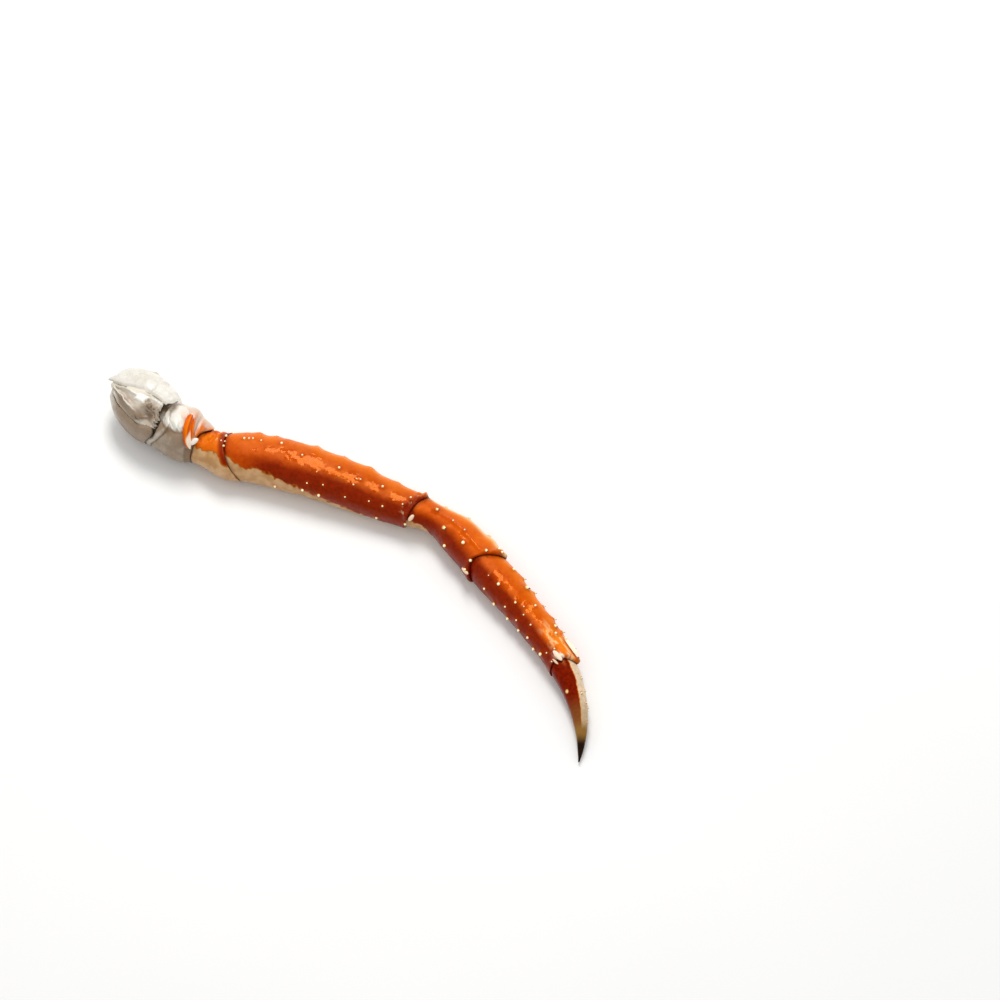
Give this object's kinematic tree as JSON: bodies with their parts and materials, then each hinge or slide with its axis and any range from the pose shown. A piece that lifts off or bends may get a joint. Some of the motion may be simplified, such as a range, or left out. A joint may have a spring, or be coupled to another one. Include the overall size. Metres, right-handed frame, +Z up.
{
  "type": "king crab leg",
  "caption": "Cooked king crab walking leg with its body joint, jointed orange shell segments, small spines and a dark claw tip, lying flat.",
  "frame": {"origin": "centre of the leg's outline in plan, on the surface it lies on", "axes": "+X from the broken body end to the claw tip, +Y towards the leg's orange back, +Z up"},
  "size_m": [0.4354, 0.104, 0.0413],
  "materials": {
    "crab_meat": "moist, flaky",
    "pale_shell": "smooth, satin",
    "orange_shell": "wet gloss",
    "claw_shell": "wet gloss, dark tip"
  },
  "bodies": {
    "root": {"shoulder_meat": "crab_meat", "shoulder_dome": "pale_shell", "shoulder_cup": "pale_shell", "coxa": "pale_shell", "ischium": "orange_shell", "merus": "orange_shell", "carpus": "orange_shell", "propodus": "orange_shell", "dactyl": "claw_shell"}
  },
  "joints": []
}
